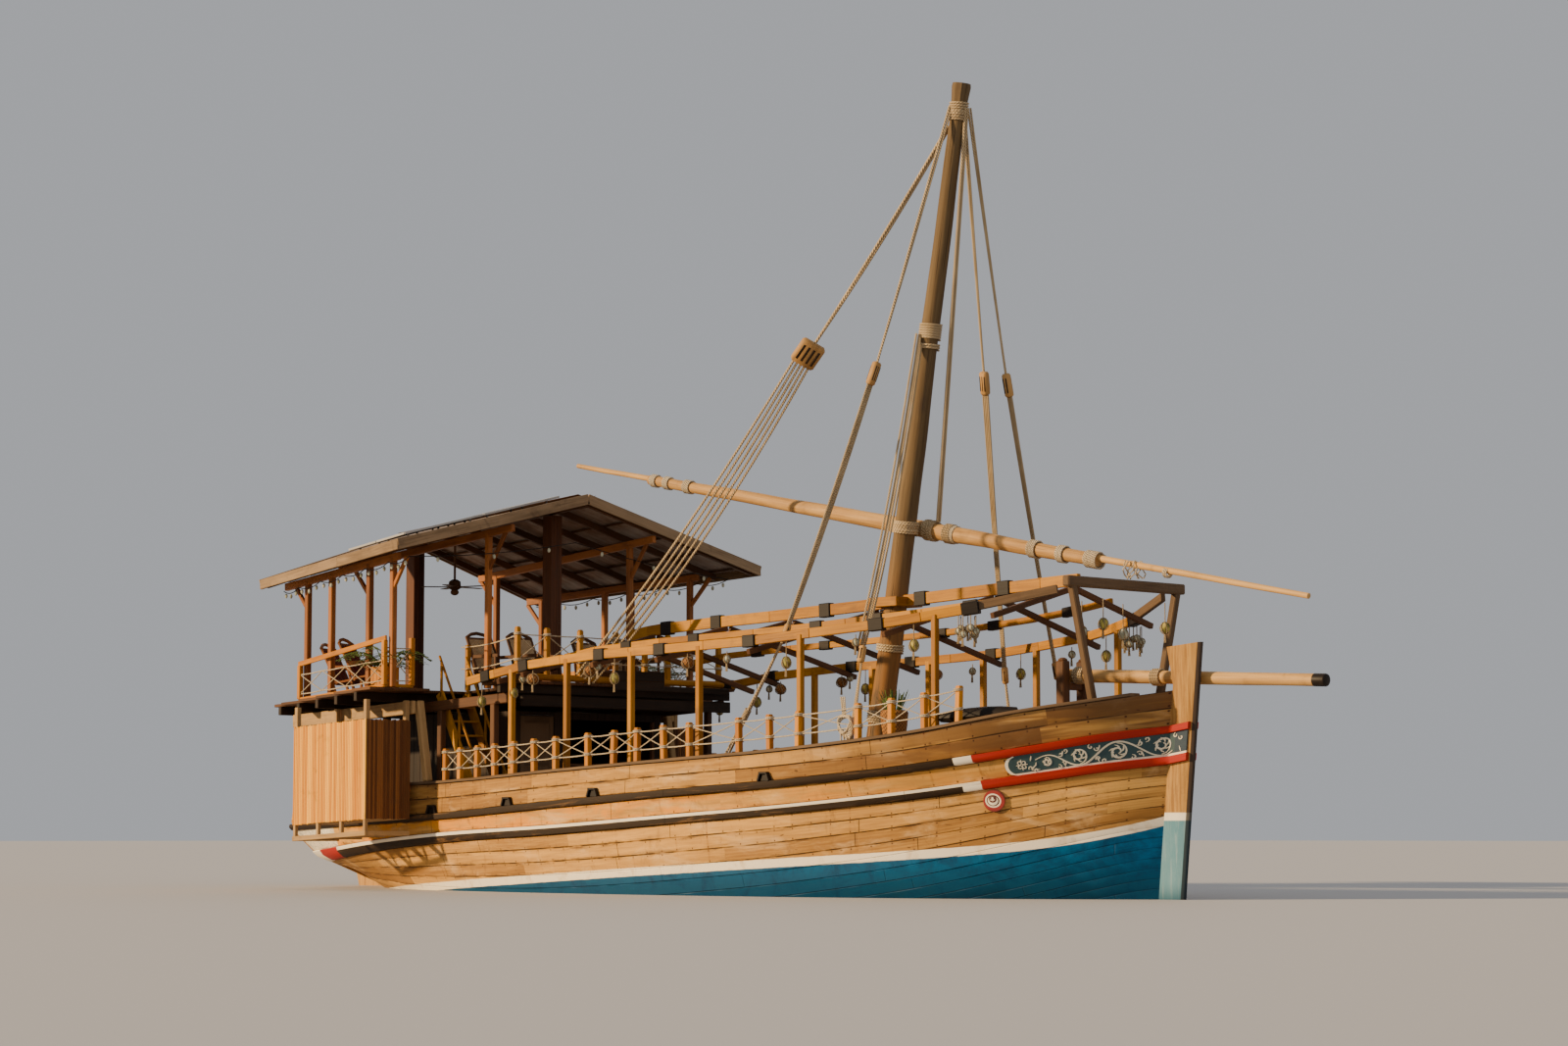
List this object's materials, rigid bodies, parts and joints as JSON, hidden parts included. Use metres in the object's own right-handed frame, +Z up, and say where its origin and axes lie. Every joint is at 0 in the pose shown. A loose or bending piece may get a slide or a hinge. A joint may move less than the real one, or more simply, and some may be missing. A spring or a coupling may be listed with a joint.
{
  "type": "dhow sailing boat",
  "caption": "Wooden dhow afloat: planked hull with painted wales and bow panels, raked mast, long yard, awning frame, roofed upper deck aft, hanging rudder.",
  "frame": {"origin": "on the centreline at the waterline, halfway along it", "axes": "+X towards the bow, +Y to port, +Z up"},
  "size_m": [23.8605, 8.8632, 15.4445],
  "materials": {
    "weathered_planks": "weathered planks, honey brown with dark seams, nail marks and rust stains",
    "bottom_paint": "turquoise blue bottom paint on planks, rubbed in places",
    "stem_timber": "bare pale timber, cracked, painted pale blue near the water",
    "dark_wale": "tarred dark brown timber",
    "panel_paint": "blue grey painted board with white scroll ornament",
    "red_paint": "red painted timber disc",
    "spar_timber": "weathered round timber with cracks",
    "pale_spar": "pale round timber, worn smooth",
    "brown_timber": "oiled brown timber",
    "dark_timber": "dark stained boards",
    "orange_timber": "oiled orange brown timber",
    "rope": "three-strand natural rope",
    "reed_screen": "upright split reeds, golden",
    "grey_door": "grey painted door",
    "roof_sheet": "corrugated roofing sheet, dull and stained",
    "solar_panel": "dark solar panels in thin frames",
    "pale_board": "weathered pale boards along the roof edges"
  },
  "bodies": {
    "boat": {"hull": "weathered_planks", "keel": "bottom_paint", "stem_post": "stem_timber", "stern_post": "weathered_planks", "transom": "weathered_planks", "lower_wale_starboard": "dark_wale", "lower_wale_port": "dark_wale", "upper_wale_starboard": "dark_wale", "upper_wale_port": "dark_wale", "bow_panel_starboard": "panel_paint", "bow_panel_port": "panel_paint", "oculus_starboard": "red_paint", "oculus_port": "red_paint", "gunwale_starboard": "weathered_planks", "gunwale_port": "weathered_planks", "mast": "spar_timber", "mast_partners": "brown_timber", "bowsprit": "pale_spar", "bow_frame": "brown_timber", "awning_side_starboard": "orange_timber", "awning_side_port": "orange_timber", "awning_ridge": "orange_timber", "awning_rafters_starboard": "orange_timber", "awning_rafters_port": "orange_timber", "shroud_starboard": "rope", "shroud_port_aft": "rope", "shroud_port_fore": "rope", "backstay": "rope", "halyard": "rope", "upper_deck": "brown_timber", "upper_deck_side_starboard": "brown_timber", "upper_deck_side_port": "brown_timber", "closet_starboard": "reed_screen", "closet_port": "reed_screen", "cabin_walls": "dark_timber", "stair": "orange_timber", "roof_skin": "roof_sheet", "roof_rafters": "brown_timber", "roof_plate_starboard": "orange_timber", "roof_plate_port": "orange_timber", "roof_wing_plate_starboard": "orange_timber", "roof_wing_plate_port": "orange_timber", "roof_column_fore": "dark_timber", "roof_column_aft": "dark_timber", "solar_panels": "solar_panel", "bitts": "brown_timber", "fore_rail": "orange_timber", "wing_rail_starboard": "orange_timber", "wing_rail_port": "orange_timber", "sign_board": "dark_timber", "roof_fascia": "pale_board"},
    "yard": {"yard": "pale_spar", "parrel": "rope"},
    "rudder": {"rudder": "weathered_planks", "tiller": "orange_timber"},
    "cabin_door": {"cabin_door": "grey_door"}
  },
  "joints": [
    {"name": "rudder_hinge", "type": "hinge", "parent": "boat", "child": "rudder", "pos_m": [-9.77075, 0, 0.5], "axis": [-0.4291, 0, 0.9033], "range_deg": [-35, 35]},
    {"name": "yard_swing", "type": "hinge", "parent": "boat", "child": "yard", "pos_m": [4.4022, 0, 6.1], "axis": [-0.1789, 0, -0.9839], "range_deg": [0, 25]},
    {"name": "cabin_door_hinge", "type": "hinge", "parent": "boat", "child": "cabin_door", "pos_m": [-3.61, -1.642, 2.3], "axis": [0, 0, -1], "range_deg": [0, 95]}
  ]
}
